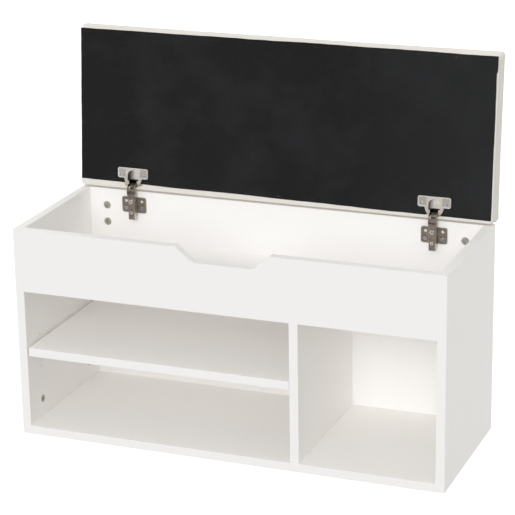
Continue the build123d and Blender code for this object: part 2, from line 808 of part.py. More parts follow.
    with BuildPart() as hinge_cup:
        rod(lid_point(centre, CUP_CENTRE, -FLANGE), INTO_LID, CUP_RADIUS, FLANGE + CUP_DEPTH)
        with BuildSketch(LID):
            with Locations((centre, sum(FLANGE_SPAN) / 2)):
                RectangleRounded(
                    2 * FLANGE_HALF, FLANGE_SPAN[1] - FLANGE_SPAN[0], FLANGE_CORNER
                )
        extrude(amount=FLANGE)
        with BuildSketch(LID.offset(FLANGE)):
            with Locations((centre, SLOT_REAR)):
                Rectangle(
                    2 * SLOT_HALF,
                    MOUTH_SPAN[1] - MOUTH_HALF - SLOT_REAR,
                    align=(Align.CENTER, Align.MIN),
                )
            with Locations((centre, MOUTH_SPAN[0])):
                Rectangle(
                    2 * MOUTH_HALF,
                    MOUTH_SPAN[1] - MOUTH_HALF - MOUTH_SPAN[0],
                    align=(Align.CENTER, Align.MIN),
                )
            with Locations((centre, MOUTH_SPAN[1] - MOUTH_HALF)):
                Circle(MOUTH_HALF)
        extrude(amount=CUP_FLOOR - CUP_DEPTH - FLANGE, mode=Mode.SUBTRACT)
        with BuildSketch(LID.offset(FLANGE)):
            with Locations((centre, SLOT_REAR)):
                Rectangle(SLOT_LIP_WIDTH, SLOT_REAR, align=(Align.CENTER, Align.MAX))
        extrude(amount=-FLANGE, mode=Mode.SUBTRACT)
        for pivot in (OUTER_CUP_PIVOT, INNER_CUP_PIVOT):
            for direction in (ALONG, opposite(ALONG)):
                bore(
                    [lid_point(centre, *pivot)],
                    direction,
                    CUP_PIN_RADIUS + RUNNING_PLAY,
                    CUP_PIN_END,
                )
        bore(
            [
                lid_point(centre + offset, FLANGE_SCREW_ROW, -FLANGE)
                for offset in (-FLANGE_SCREW_HALF, FLANGE_SCREW_HALF)
            ],
            INTO_LID,
            WOOD_SCREW_RADIUS + FITTING_PLAY,
            FLANGE,
        )
    save(hinge_cup.part, f"{side}_hinge_cup")

    with BuildPart() as hinge_cup_pins:
        for direction in (ALONG, opposite(ALONG)):
            stub = along(lid_point(centre, *OUTER_CUP_PIVOT), direction, EAR_INNER)
            rod(stub, direction, CUP_PIN_RADIUS, CUP_PIN_END - EAR_INNER)
        rod(
            along(lid_point(centre, *INNER_CUP_PIVOT), ALONG, -CUP_PIN_END),
            ALONG,
            CUP_PIN_RADIUS,
            2 * CUP_PIN_END,
        )
    save(hinge_cup_pins.part, f"{side}_hinge_cup_pins")

    with BuildPart() as hinge_cup_screws:
        for offset in (-FLANGE_SCREW_HALF, FLANGE_SCREW_HALF):
            add_screw(
                lid_point(centre + offset, FLANGE_SCREW_ROW, -FLANGE),
                INTO_LID,
                PAN_HEAD_RADIUS,
                PAN_HEAD,
                WOOD_SCREW_RADIUS,
                WOOD_SCREW_LENGTH + FLANGE - FITTING_PLAY,
            )
    save(hinge_cup_screws.part, f"{side}_hinge_cup_screws")
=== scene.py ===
import json
from math import atan, cos, exp, hypot, pi, radians, sin

import bpy
from mathutils import Matrix, Vector, noise


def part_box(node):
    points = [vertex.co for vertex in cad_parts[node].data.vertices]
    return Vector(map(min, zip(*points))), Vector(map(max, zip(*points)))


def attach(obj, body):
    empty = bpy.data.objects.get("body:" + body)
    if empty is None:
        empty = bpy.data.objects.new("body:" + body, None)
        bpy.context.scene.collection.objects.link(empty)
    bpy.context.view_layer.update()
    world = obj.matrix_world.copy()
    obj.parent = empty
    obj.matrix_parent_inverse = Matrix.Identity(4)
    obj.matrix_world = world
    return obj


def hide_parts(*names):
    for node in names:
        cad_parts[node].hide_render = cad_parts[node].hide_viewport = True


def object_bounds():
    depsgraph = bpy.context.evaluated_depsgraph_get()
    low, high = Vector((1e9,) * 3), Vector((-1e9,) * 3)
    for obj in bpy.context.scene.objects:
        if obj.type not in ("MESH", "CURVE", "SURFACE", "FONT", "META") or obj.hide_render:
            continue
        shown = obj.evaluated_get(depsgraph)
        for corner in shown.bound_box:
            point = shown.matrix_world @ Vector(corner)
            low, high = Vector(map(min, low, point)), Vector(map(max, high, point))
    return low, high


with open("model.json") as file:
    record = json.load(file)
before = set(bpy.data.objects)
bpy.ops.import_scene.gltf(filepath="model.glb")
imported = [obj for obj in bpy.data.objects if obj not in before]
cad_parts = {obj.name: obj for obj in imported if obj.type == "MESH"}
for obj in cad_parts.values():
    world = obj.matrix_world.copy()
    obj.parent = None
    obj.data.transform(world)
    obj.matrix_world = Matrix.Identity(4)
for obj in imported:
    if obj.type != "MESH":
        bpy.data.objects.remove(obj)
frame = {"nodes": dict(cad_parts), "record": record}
cad_low, cad_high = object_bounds()
MM = 0.001

# Places of the open lid. x runs along the bench, s is the distance up from the lid's rear
# edge, and n is the depth into the lid from its underside.
LEAN = radians(4.6)
LID_LENGTH = 800 * MM
LID_DEPTH = 299 * MM
DUST_REAR = 9 * MM
DUST_INSET = 1.2 * MM
DUST_THICKNESS = 0.4 * MM
dust_low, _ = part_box("lid_dust_cover")
LID_Y = dust_low.y - DUST_REAR * sin(LEAN)
LID_Z = dust_low.z - DUST_REAR * cos(LEAN) + DUST_THICKNESS * sin(LEAN)
CUP_CENTRES = [
    (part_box(f"{side}_hinge_cup")[0].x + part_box(f"{side}_hinge_cup")[1].x) / 2
    for side in ("left", "right")
]
CUP_ROW = 21.3 * MM
CUP_RADIUS = 17.4 * MM


def lid_place(x, s, n):
    """The row-frame place of a point of the open lid."""
    return Vector((
        x,
        LID_Y + s * sin(LEAN) + n * cos(LEAN),
        LID_Z + s * cos(LEAN) - n * sin(LEAN),
    ))


# The lid's own directions, and how far along each the lid's rear lower edge is.
INTO_LID = Vector((0, cos(LEAN), -sin(LEAN)))
UP_LID = Vector((0, sin(LEAN), cos(LEAN)))
LID_INTO = INTO_LID.dot(Vector((0, LID_Y, LID_Z)))
LID_UP = UP_LID.dot(Vector((0, LID_Y, LID_Z)))


def smooth(t):
    """Eases from 0 to 1 as t does."""
    t = min(max(t, 0.0), 1.0)
    return t * t * (3 - 2 * t)


# ---- materials ----


class Finish:
    """A Principled material whose colour, roughness and relief are built up from nodes."""

    def __init__(self, name, colour, roughness, **constants):
        self.material = bpy.data.materials.new(name)
        self.material.use_nodes = True
        self.tree = self.material.node_tree
        self.shader = self.tree.nodes["Principled BSDF"]
        self.colour = self.node("ShaderNodeRGB").outputs[0]
        self.colour.default_value = (*colour, 1)
        self.roughness = roughness
        self.shader.inputs["Roughness"].default_value = roughness
        for socket, value in constants.items():
            self.shader.inputs[socket.replace("_", " ")].default_value = value
        coordinates = self.node("ShaderNodeTexCoord")
        self.place = coordinates.outputs["Object"]
        self.facing = coordinates.outputs["Normal"]
        self.normal = None

    def node(self, kind, **inputs):
        """A new node, with underscores for the spaces in its sockets' names."""
        made = self.tree.nodes.new(kind)
        for socket, value in inputs.items():
            self.feed(made.inputs[socket.replace("_", " ")], value)
        return made

    def feed(self, socket, value):
        """Links an output to a socket, or sets the socket's own value."""
        if isinstance(value, bpy.types.NodeSocket):
            self.tree.links.new(value, socket)
        else:
            socket.default_value = value

    def stretched(self, scale, turn=(0, 0, 0)):
        """The object's own place, scaled and turned, for grain that runs one way."""
        mapping = self.node("ShaderNodeMapping", Vector=self.place)
        mapping.inputs["Scale"].default_value = scale
        mapping.inputs["Rotation"].default_value = turn
        return mapping.outputs[0]

    def noise(self, scale, detail=3.0, rough=0.5, place=None, distortion=0.0):
        made = self.node(
            "ShaderNodeTexNoise",
            Vector=place or self.place,
            Scale=scale,
            Detail=detail,
            Roughness=rough,
            Distortion=distortion,
        )
        return made.outputs["Fac"]

    def cells(self, scale, feature="F1", place=None):
        made = self.node("ShaderNodeTexVoronoi", Vector=place or self.place, Scale=scale)
        made.feature = feature
        return made.outputs["Distance"]

    def ramp(self, factor, low, high, start=0.0, end=1.0):
        """Maps a factor between low and high onto start to end, clamped."""
        made = self.node("ShaderNodeMapRange", Value=factor)
        made.inputs["From Min"].default_value = low
        made.inputs["From Max"].default_value = high
        made.inputs["To Min"].default_value = start
        made.inputs["To Max"].default_value = end
        return made.outputs[0]

    def math(self, operation, a, b=0.0):
        made = self.tree.nodes.new("ShaderNodeMath")
        made.operation = operation
        self.feed(made.inputs[0], a)
        self.feed(made.inputs[1], b)
        return made.outputs[0]

    def product(self, first, *others):
        for other in others:
            first = self.math("MULTIPLY", first, other)
        return first

    def band(self, value, rise, fall):
        """High between two soft limits, each given as the places where it starts and ends."""
        return self.product(self.ramp(value, *rise), self.ramp(value, *reversed(fall)))

    def along(self, direction, start=0.0, source=None):
        """How far the place, or another vector, reaches along a row-frame direction."""
        made = self.tree.nodes.new("ShaderNodeVectorMath")
        made.operation = "DOT_PRODUCT"
        self.feed(made.inputs[0], source or self.place)
        made.inputs[1].default_value = direction
        return self.math("SUBTRACT", made.outputs["Value"], start)

    def recess_shade(self, reach):
        """High down in recesses and where two pieces meet, where shade is painted."""
        made = self.node("ShaderNodeAmbientOcclusion", Distance=reach)
        return self.ramp(made.outputs["AO"], 0.8, 0.45)

    def edges(self, reach):
        """High on outer edges, where highlights are painted."""
        made = self.node("ShaderNodeAmbientOcclusion", Distance=reach)
        made.inside = True
        return self.ramp(made.outputs["AO"], 0.9, 0.55)

    def tint(self, factor, colour):
        """Mixes a colour in where the factor is high."""
        made = self.tree.nodes.new("ShaderNodeMix")
        made.data_type = "RGBA"
        self.feed(made.inputs[0], factor)
        self.feed(made.inputs[6], self.colour)
        made.inputs[7].default_value = (*colour, 1)
        self.colour = made.outputs[2]

    def vary_roughness(self, factor, change):
        """Roughness that rises with the factor, from its base less the change to more."""
        low, high = self.roughness - change, self.roughness + change
        self.feed(self.shader.inputs["Roughness"], self.ramp(factor, 0.3, 0.7, low, high))

    def relief(self, height, distance, strength=1.0):
        bump = self.node("ShaderNodeBump", Strength=strength, Distance=distance, Height=height)
        if self.normal:
            self.feed(bump.inputs["Normal"], self.normal)
        self.normal = bump.outputs[0]

    def done(self):
        self.feed(self.shader.inputs["Base Color"], self.colour)
        if self.normal:
            self.feed(self.shader.inputs["Normal"], self.normal)
        return self.material


def white_melamine():
    """Melamine-faced board: a faint cloudy tone, fine orange peel and the odd dust fleck."""
    finish = Finish("white_melamine", (0.95, 0.939, 0.923), 0.42, Specular_IOR_Level=0.4)
    finish.tint(finish.ramp(finish.noise(6, 4), 0.35, 0.75, 0, 0.5), (0.94, 0.927, 0.909))
    fleck = finish.ramp(finish.cells(170), 0.035, 0.02)
    finish.tint(finish.product(fleck, 0.25), (0.7, 0.68, 0.65))
    finish.vary_roughness(finish.noise(35, 3), 0.05)
    finish.relief(finish.noise(900, 2, 0.6), 0.02 * MM, 0.35)
    finish.relief(finish.noise(14, 2), 0.12 * MM, 0.2)
    return finish.done()


def white_hardboard():
    """Lacquered hardboard: slightly greyer, with a fine fibrous face."""
    finish = Finish("white_hardboard", (0.947, 0.935, 0.917), 0.5, Specular_IOR_Level=0.35)
    fibres = finish.noise(260, 4, 0.65, finish.stretched((1, 1, 2.5)), 0.6)
    finish.tint(finish.ramp(fibres, 0.4, 0.75, 0, 0.4), (0.925, 0.911, 0.891))
    finish.vary_roughness(finish.noise(50, 3), 0.06)
    finish.relief(fibres, 0.04 * MM, 0.4)
    return finish.done()


def cam_zinc():
    """Die-cast zinc: tumbled and mottled, with painted shade in the cross and painted highlights
    on its edges.
    """
    finish = Finish("cam_zinc", (0.56, 0.525, 0.47), 0.42, Metallic=1.0)
    mottle = finish.noise(420, 5, 0.65)
    finish.tint(finish.ramp(mottle, 0.44, 0.64), (0.34, 0.31, 0.27))
    finish.tint(finish.ramp(finish.noise(1300, 3), 0.6, 0.75, 0, 0.7), (0.72, 0.7, 0.66))
    # Painted highlight: the outer edges are made nearly white.
    finish.tint(finish.edges(0.9 * MM), (0.86, 0.84, 0.8))
    # Painted shade: the cross and other recesses are made nearly black.
    finish.tint(finish.recess_shade(1.6 * MM), (0.03, 0.027, 0.024))
    finish.vary_roughness(mottle, 0.12)
    finish.relief(finish.noise(900, 4, 0.6), 0.08 * MM, 0.6)
    return finish.done()


def screw_steel(name, colour, stain):
    """Plated screw: turning marks, a stained face, painted highlights on its rims and painted
    shade in its cross recess.
    """
    finish = Finish(name, colour, 0.26, Metallic=1.0)
    finish.tint(finish.ramp(finish.noise(300, 3), 0.42, 0.6), stain)
    finish.tint(finish.ramp(finish.noise(700, 3), 0.55, 0.75, 0, 0.6), (0.36, 0.31, 0.25))
    # Painted highlight on the rims and edges.
    finish.tint(finish.edges(0.6 * MM), (0.92, 0.92, 0.92))
    # Painted shade in the cross recess.
    finish.tint(finish.recess_shade(1.1 * MM), (0.012, 0.012, 0.014))
    finish.vary_roughness(finish.noise(500, 4), 0.1)
    finish.relief(finish.noise(1500, 3), 0.03 * MM, 0.5)
    return finish.done()


def staple_black():
    """Black-lacquered upholstery wire, with bare steel where the lacquer is worn."""
    finish = Finish("staple_black", (0.012, 0.012, 0.013), 0.45, Specular_IOR_Level=0.3)
    finish.tint(finish.ramp(finish.noise(180, 2), 0.66, 0.7), (0.3, 0.3, 0.3))
    finish.vary_roughness(finish.noise(600, 2), 0.1)
    finish.relief(finish.noise(1800, 2), 0.03 * MM, 0.5)
    return finish.done()


def nickel(name, colour, shade, glint, roughness, side=None):
    """Nickel-plated pressed steel: rolled grain, brown-grey mottling and small bright pits, with
    painted highlights on its edges and, when a side colour is given, on faces that look along x,
    and painted shade in its recesses.
    """
    finish = Finish(name, colour, roughness, Metallic=1.0)
    mottle = finish.noise(230, 5, 0.7, None, 0.4)
    # Painted highlight: faces that look along x are made lighter.
    if side:
        facing = finish.math("ABSOLUTE", finish.along((1, 0, 0), 0, finish.facing))
        finish.tint(finish.ramp(facing, 0.6, 0.8), side)
    finish.tint(finish.ramp(mottle, 0.45, 0.66), shade)
    finish.tint(finish.ramp(finish.noise(800, 4, 0.7), 0.6, 0.72, 0, 0.8), glint)
    # Painted highlight on the edges.
    finish.tint(finish.edges(1.0 * MM), glint)
    # Painted shade in recesses.
    finish.tint(finish.recess_shade(1.5 * MM), (0.03, 0.027, 0.024))
    finish.vary_roughness(finish.noise(180, 3), 0.1)
    finish.relief(finish.noise(600, 3, 0.6, finish.stretched((1, 1, 0.15))), 0.03 * MM, 0.5)
    return finish.done()


# Marks pressed into a hinge cup, and where shade is painted in it. Each limit is soft: where it
# starts and where it ends.
PAD_ACROSS = ((14 * MM, 15 * MM), (28 * MM, 28.6 * MM))
PAD_UP = ((23 * MM, 24 * MM), (37.8 * MM, 38.5 * MM))
DISC_UP = 27 * MM
DISC_SHADE_RING = ((6.4 * MM, 7 * MM), (7.6 * MM, 8.2 * MM))
SUNK = (0.2 * MM, 1.2 * MM)
SHADED_BELOW = (15.5 * MM, 17 * MM)


def cup_nickel():
    """Pressed nickel hinge cup: sunk pads round the screws, painted shade on its walls and low in
    its well, a painted shade ring round the floor disc and painted highlights on its edges.
    """
    finish = Finish("cup_nickel", (0.68, 0.655, 0.61), 0.34, Metallic=1.0)
    depth = finish.along(INTO_LID, LID_INTO)
    up = finish.along(UP_LID, LID_UP)
    across = finish.math("ABSOLUTE", finish.along((1, 0, 0)))
    off = finish.math("SUBTRACT", across, CUP_CENTRES[1])
    mottle = finish.noise(330, 5, 0.7)
    finish.tint(finish.ramp(mottle, 0.45, 0.64, 0, 0.8), (0.5, 0.46, 0.4))
    on_pad = finish.product(
        finish.band(finish.math("ABSOLUTE", off), *PAD_ACROSS), finish.band(up, *PAD_UP)
    )
    finish.tint(finish.product(on_pad, 0.75), (0.4, 0.365, 0.32))
    # Painted shade: a dark ring round the disc in the cup's floor.
    rise = finish.math("SUBTRACT", up, DISC_UP)
    squares = finish.math("ADD", finish.product(off, off), finish.product(rise, rise))
    shade_ring = finish.band(finish.math("SQRT", squares), *DISC_SHADE_RING)
    sunk = finish.ramp(depth, *SUNK)
    finish.tint(finish.product(shade_ring, sunk, 0.8), (0.16, 0.14, 0.12))
    # The cup's walls and the low part of its well, where shade is painted.
    facing = finish.math("ABSOLUTE", finish.along(INTO_LID, 0, finish.facing))
    shaded_low = finish.ramp(up, *reversed(SHADED_BELOW))
    wall = finish.math("MAXIMUM", finish.ramp(facing, 0.6, 0.3), shaded_low)
    # Painted highlight on the edges.
    finish.tint(finish.edges(1.0 * MM), (0.85, 0.83, 0.79))
    # Painted shade, nearly black, on the walls and low in the well.
    finish.tint(finish.product(wall, sunk), (0.02, 0.018, 0.016))
    finish.vary_roughness(mottle, 0.1)
    finish.relief(finish.ramp(on_pad, 0, 1, 1, 0), 0.25 * MM, 0.6)
    finish.relief(finish.noise(600, 3, 0.6), 0.03 * MM, 0.5)
    return finish.done()


def beech():
    """Beech dowel: fine straight grain with short dark rays."""
    finish = Finish("beech", (0.62, 0.45, 0.28), 0.6)
    grain = finish.noise(140, 5, 0.6, finish.stretched((0.15, 1, 1)))
    finish.tint(finish.ramp(grain, 0.4, 0.65), (0.5, 0.34, 0.2))
    finish.vary_roughness(grain, 0.06)
    finish.relief(grain, 0.06 * MM, 0.6)
    return finish.done()


def chipboard():
    """Raw chipboard: pressed flakes of three tones."""
    finish = Finish("chipboard", (0.55, 0.41, 0.26), 0.8)
    flakes = finish.cells(260, place=finish.stretched((1, 1.8, 1)))
    finish.tint(finish.ramp(flakes, 0.2, 0.6), (0.42, 0.29, 0.17))
    finish.tint(finish.ramp(finish.noise(350, 4), 0.58, 0.66), (0.68, 0.54, 0.37))
    finish.vary_roughness(finish.noise(90, 3), 0.08)
    finish.relief(flakes, 0.15 * MM, 0.7)
    return finish.done()


def foam():
    """Pale polyurethane foam: an open-celled, slightly yellowed surface."""
    finish = Finish("lid_foam", (0.78, 0.73, 0.6), 0.95, Specular_IOR_Level=0.1)
    cells = finish.cells(700)
    finish.tint(finish.ramp(cells, 0.3, 0.6, 0, 0.6), (0.6, 0.54, 0.4))
    finish.vary_roughness(finish.noise(80, 2), 0.03)
    finish.relief(cells, 0.4 * MM, 0.8)
    return finish.done()


def cream_leatherette():
    """Cream leatherette: pebbled grain with painted shade in its fine creases, a soft sheen and a
    cloudy tone.
    """
    finish = Finish(
        "cream_leatherette",
        (0.80, 0.775, 0.725),
        0.56,
        Sheen_Weight=0.15,
        Sheen_Roughness=0.5,
        Specular_IOR_Level=0.35,
    )
    pebble = finish.cells(620, "SMOOTH_F1")
    crease_shade = finish.ramp(finish.cells(620, "DISTANCE_TO_EDGE"), 0.12, 0.0)
    finish.tint(finish.ramp(finish.noise(7, 4), 0.35, 0.7, 0, 0.7), (0.745, 0.715, 0.655))
    # Painted shade in the grain's creases.
    finish.tint(finish.product(crease_shade, 0.35), (0.62, 0.58, 0.51))
    finish.tint(finish.ramp(finish.noise(160, 3), 0.58, 0.75, 0, 0.4), (0.84, 0.82, 0.77))
    finish.vary_roughness(finish.noise(300, 3), 0.07)
    finish.relief(pebble, 0.10 * MM, 0.6)
    finish.relief(finish.noise(30, 4, 0.6), 0.6 * MM, 0.3)
    return finish.done()


def black_nonwoven():
    """Spun-bonded black cloth: tangled fibres pressed with a fine grid of bond points, and
    painted light that makes it lighter towards its right end.
    """
    finish = Finish("black_nonwoven", (0.0125, 0.0128, 0.0132), 0.92, Specular_IOR_Level=0.12)
    fibres = finish.noise(330, 5, 0.75, finish.stretched((1, 1, 2.2), (0, 0.5, 0)), 1.2)
    grid = finish.stretched((1, 1, 1), (0, pi / 4, 0))
    wave_x = finish.node("ShaderNodeTexWave", Vector=grid, Scale=190, Distortion=0.6)
    wave_z = finish.node("ShaderNodeTexWave", Vector=grid, Scale=190, Distortion=0.6)
    wave_z.bands_direction = "Z"
    bonds = finish.product(wave_x.outputs["Fac"], wave_z.outputs["Fac"])
    finish.tint(finish.ramp(fibres, 0.45, 0.75, 0, 0.8), (0.026, 0.0265, 0.027))
    finish.tint(finish.ramp(bonds, 0.5, 0.9, 0, 0.5), (0.007, 0.007, 0.0075))
    finish.tint(finish.ramp(finish.noise(9, 5, 0.6), 0.45, 0.7, 0, 0.6), (0.026, 0.027, 0.029))
    # Painted light: the cloth is made lighter towards its right end.
    finish.tint(finish.ramp(finish.along((1, 0, 0)), 0.1, 0.42, 0, 0.55), (0.028, 0.029, 0.030))
    lint = finish.ramp(finish.cells(75), 0.022, 0.012)
    finish.tint(finish.product(lint, 0.5), (0.11, 0.09, 0.07))
    finish.vary_roughness(finish.noise(120, 2), 0.05)
    finish.relief(fibres, 0.12 * MM, 0.8)
    finish.relief(finish.ramp(bonds, 0, 1, 1, 0), 0.08 * MM, 0.6)
    return finish.done()


def floor_white():
    """A plain, pale studio floor with a barely visible roller texture."""
    finish = Finish("floor_white", (0.93, 0.93, 0.93), 0.9, Specular_IOR_Level=0.1)
    finish.tint(finish.ramp(finish.noise(3, 2), 0.4, 0.7, 0, 0.3), (0.91, 0.91, 0.905))
    finish.shader.inputs["Emission Color"].default_value = (1, 1, 1, 1)
    finish.shader.inputs["Emission Strength"].default_value = 0.35
    return finish.done()


MATERIALS = {
    "white_melamine": white_melamine(),
    "white_hardboard": white_hardboard(),
    "cam_zinc": cam_zinc(),
    "screw_steel": screw_steel("screw_steel", (0.6, 0.61, 0.65), (0.16, 0.22, 0.52)),
    "beech_dowel": beech(),
    "lid_chipboard": chipboard(),
    "lid_foam": foam(),
    "lid_upholstery": cream_leatherette(),
    "black_nonwoven": black_nonwoven(),
    "hinge_nickel": cup_nickel(),
    "hinge_nickel_dark": nickel(
        "hinge_nickel_dark",
        (0.33, 0.275, 0.215),
        (0.2, 0.17, 0.14),
        (0.6, 0.6, 0.62),
        0.34,
        # Lighter side walls of the arms: a painted highlight.
        side=(0.72, 0.70, 0.66),
    ),
}
STAPLE_BLACK = staple_black()
# The links get a darker copy of the nickel: painted shade, as they sit down in the cup's well.
SHADED_LINK_NICKEL = nickel(
    "shaded_link_nickel", (0.21, 0.175, 0.14), (0.055, 0.048, 0.042), (0.42, 0.37, 0.31), 0.38
)
ARM_SCREW = screw_steel("arm_screw_steel", (0.8, 0.8, 0.8), (0.5, 0.49, 0.47))


def dress(obj, material):
    """Gives the object this material and no other."""
    obj.data.materials.clear()
    obj.data.materials.append(material)


for part in frame["record"]["subparts"]:
    dress(frame["nodes"][part["node"]], MATERIALS[part["material_slot"]])
dress(frame["nodes"]["dust_cover_staples"], STAPLE_BLACK)
for side in ("left", "right"):
    dress(frame["nodes"][f"{side}_hinge_arm_screws"], ARM_SCREW)
    dress(frame["nodes"][f"{side}_outer_link"], SHADED_LINK_NICKEL)
    dress(frame["nodes"][f"{side}_inner_link"], SHADED_LINK_NICKEL)


BANDING_RADIUS = 0.5 * MM
SAME_POINT = 0.01 * MM


def soften_edges(obj):
    """Rounds a board's sharp edges, as its edge banding is."""
    weld = obj.modifiers.new("weld", "WELD")
    weld.merge_threshold = SAME_POINT
    bevel = obj.modifiers.new("edge", "BEVEL")
    bevel.width = BANDING_RADIUS
    bevel.segments = 2
    bevel.limit_method = "ANGLE"
    bevel.angle_limit = radians(60)
    bevel.harden_normals = True
    bevel.use_clamp_overlap = True


for part in frame["record"]["subparts"]:
    if part["material_slot"] == "white_melamine":
        soften_edges(frame["nodes"][part["node"]])


# ---- helpers for new pieces ----


def new_piece(name, points, faces, material, body="lid"):
    """A mesh piece in the row frame that rides on a CAD body."""
    mesh = bpy.data.meshes.new(name)
    mesh.from_pydata([tuple(p) for p in points], [], faces)
    mesh.update()
    obj = bpy.data.objects.new(name, mesh)
    bpy.context.scene.collection.objects.link(obj)
    obj.data.materials.append(material)
    for polygon in mesh.polygons:
        polygon.use_smooth = True
    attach(obj, body)
    return obj


def apply_modifiers(obj):
    """Replaces the object's mesh with its shape after all modifiers."""
    graph = bpy.context.evaluated_depsgraph_get()
    mesh = bpy.data.meshes.new_from_object(obj.evaluated_get(graph))
    obj.modifiers.clear()
    obj.data = mesh


# ---- seat cushion ----

# The slab it is made from. Heights are depths into the lid from its underside.
COVER_LOW = 0.4 * MM
COVER_TOP = 34 * MM
CORNER = 7 * MM
UPPER_RADIUS = 8 * MM
LOWER_RADIUS = 1.6 * MM
GRID_STEP = 5.5 * MM
RIM_STEPS = [d * MM for d in (0, 0.3, 0.9, 1.6, 3, 5, 7, 9, 11, 15, 20)]
SIDE_LEVELS = 8

# The bores over the hinge cups.
CUP_POCKET = 16 * MM
BORE_SNAP = 3.5 * MM
BORE_WALL = 0.15 * MM

# Its padding, as drawn and as swollen.
CROWN = 5 * MM
CROWN_START = 12 * MM
SIDE_BULGE = 5 * MM
REAR_BULGE = 1.2 * MM
SIDE_PULL = 1.2 * MM
BULGE_START = 3 * MM
BULGE_RISE = 16 * MM
HELD_BELOW = 3 * MM
HELD_FADE = 12 * MM
SWELL_FRAMES = 20
SWELL_PRESSURE = 4.0
SWELL_CAP = 5 * MM
SIDE_CAP = 1.0 * MM

# Folds and puckers in its cover.
FOLD = 0.8 * MM
MITRE_WIDTH = 1.2 * MM
MITRE_LENGTH = 50 * MM
MITRE_TOP = 6 * MM
PLEAT_SETBACK = 20 * MM
PLEAT_SLANT = 0.15
PLEAT_WIDTH = 1.8 * MM
PLEAT_TOP = 20 * MM
PLEAT_FADE = 10 * MM
END_REACH = 4 * MM
PUCKER = 0.7 * MM
PUCKER_REACH = 34 * MM
PUCKER_START = 3 * MM
PUCKER_RISE = 12 * MM
PUCKER_COUNT = 9
RIM_START = 2 * MM
RIM_RISE = 8 * MM
END_WAVE = 0.35 * MM
EDGE_WAVE = 0.45 * MM
FACE_WAVE = 0.4 * MM


def spread(length, fine, step):
    """Distances along a side: close together near both ends, evenly spaced between."""
    middle = length - 2 * fine[-1]
    count = round(middle / step)
    inner = [fine[-1] + middle * i / count for i in range(1, count)]
    return [*fine, *inner, *[length - place for place in reversed(fine)]]


def round_corner(x, s):
    """Moves a place near a corner of the lid's outline inside its rounded corner."""
    dx = abs(x) - (LID_LENGTH / 2 - CORNER)
    ds = abs(s - LID_DEPTH / 2) - (LID_DEPTH / 2 - CORNER)
    if dx <= 0 or ds <= 0:
        return x, s
    shrink = 1 - max(dx, ds) / hypot(dx, ds)
    end = 1 if x > 0 else -1
    edge = 1 if s > LID_DEPTH / 2 else -1
    return x - end * dx * shrink, s - edge * ds * shrink


def rim_drop(rim, radius):
    """How far a rounded edge falls below the face at a distance in from the rim."""
    reach = max(radius - rim, 0)
    return radius - (radius * radius - reach * reach) ** 0.5


def cup_bore(x, s, n):
    """Bores the underside out over a hinge cup, and draws nearby points up to the bore's edge."""
    middle = min(CUP_CENTRES, key=lambda centre: abs(x - centre))
    away = Vector((x - middle, s - CUP_ROW))
    inside = away.length < CUP_RADIUS
    if abs(away.length - CUP_RADIUS) < BORE_SNAP and s > LOWER_RADIUS:
        away.length = CUP_RADIUS - BORE_WALL if inside else CUP_RADIUS + BORE_WALL
    return middle + away.x, CUP_ROW + away.y, CUP_POCKET if inside else n


def cushion_blank():
    """The cushion before it swells, in lid coordinates (x, s, n): a rounded slab."""
    xs = spread(LID_LENGTH, RIM_STEPS, GRID_STEP)
    ss = spread(LID_DEPTH, RIM_STEPS, GRID_STEP)
    columns, rows = len(xs), len(ss)
    points, faces = [], []

    def layer(face, radius, rising):
        start = len(points)
        for along in ss:
            for across in xs:
                rim = min(across, LID_LENGTH - across, along, LID_DEPTH - along)
                x, s = round_corner(across - LID_LENGTH / 2, along)
                n = face + rising * rim_drop(rim, radius)
                points.append(cup_bore(x, s, n) if rising > 0 else (x, s, n))
        return start

    def quads(start, flip):
        for row in range(rows - 1):
            for column in range(columns - 1):
                a = start + row * columns + column
                quad = (a, a + 1, a + columns + 1, a + columns)
                faces.append(tuple(reversed(quad)) if flip else quad)

    under = layer(COVER_LOW, LOWER_RADIUS, 1)
    quads(under, True)
    over = layer(COVER_TOP, UPPER_RADIUS, -1)
    quads(over, False)
    rim = [*range(columns)]
    rim += [row * columns + columns - 1 for row in range(1, rows)]
    rim += [(rows - 1) * columns + column for column in range(columns - 2, -1, -1)]
    rim += [row * columns for row in range(rows - 2, 0, -1)]
    bottom, top = COVER_LOW + LOWER_RADIUS, COVER_TOP - UPPER_RADIUS
    rings = [[under + i for i in rim]]
    for level in range(1, SIDE_LEVELS):
        height = bottom + (top - bottom) * level / SIDE_LEVELS
        rings.append([len(points) + i for i in range(len(rim))])
        points.extend((points[under + i][0], points[under + i][1], height) for i in rim)
    rings.append([over + i for i in rim])
    for lower, upper in zip(rings, rings[1:]):
        for i in range(len(rim)):
            j = (i + 1) % len(rim)
            faces.append((lower[i], lower[j], upper[j], upper[i]))
    mesh = bpy.data.meshes.new("seat_cushion")
    mesh.from_pydata(points, [], faces)
    mesh.update()
    return mesh


def crown_at(x, s):
    """How far the padding stands up at a place on the seat, from 0 at the rim to 1."""
    u = min(abs(2 * x / LID_LENGTH), 1.0)
    v = min(abs(2 * s / LID_DEPTH - 1), 1.0)
    return (1 - u ** 8) * (1 - v ** 2.6)


def shape_blank(mesh):
    """Crowns the top and draws the sides in between the corners."""
    for vertex in mesh.vertices:
        x, s, n = vertex.co
        high = smooth((n - CROWN_START) / (COVER_TOP - CROWN_START))
        along = 1 - abs(2 * x / LID_LENGTH) ** 4
        across = 1 - abs(2 * s / LID_DEPTH - 1) ** 4
        stand = smooth((n - BULGE_START) / BULGE_RISE)
        out_x = stand * (SIDE_BULGE - SIDE_PULL * across)
        bulge = REAR_BULGE if s < LID_DEPTH / 2 else SIDE_BULGE
        out_s = stand * (bulge - SIDE_PULL * along)
        vertex.co.x = x + out_x * (2 * x / LID_LENGTH) ** 5
        vertex.co.y = s + out_s * (2 * s / LID_DEPTH - 1) ** 5
        vertex.co.z = n + CROWN * crown_at(x, s) * high


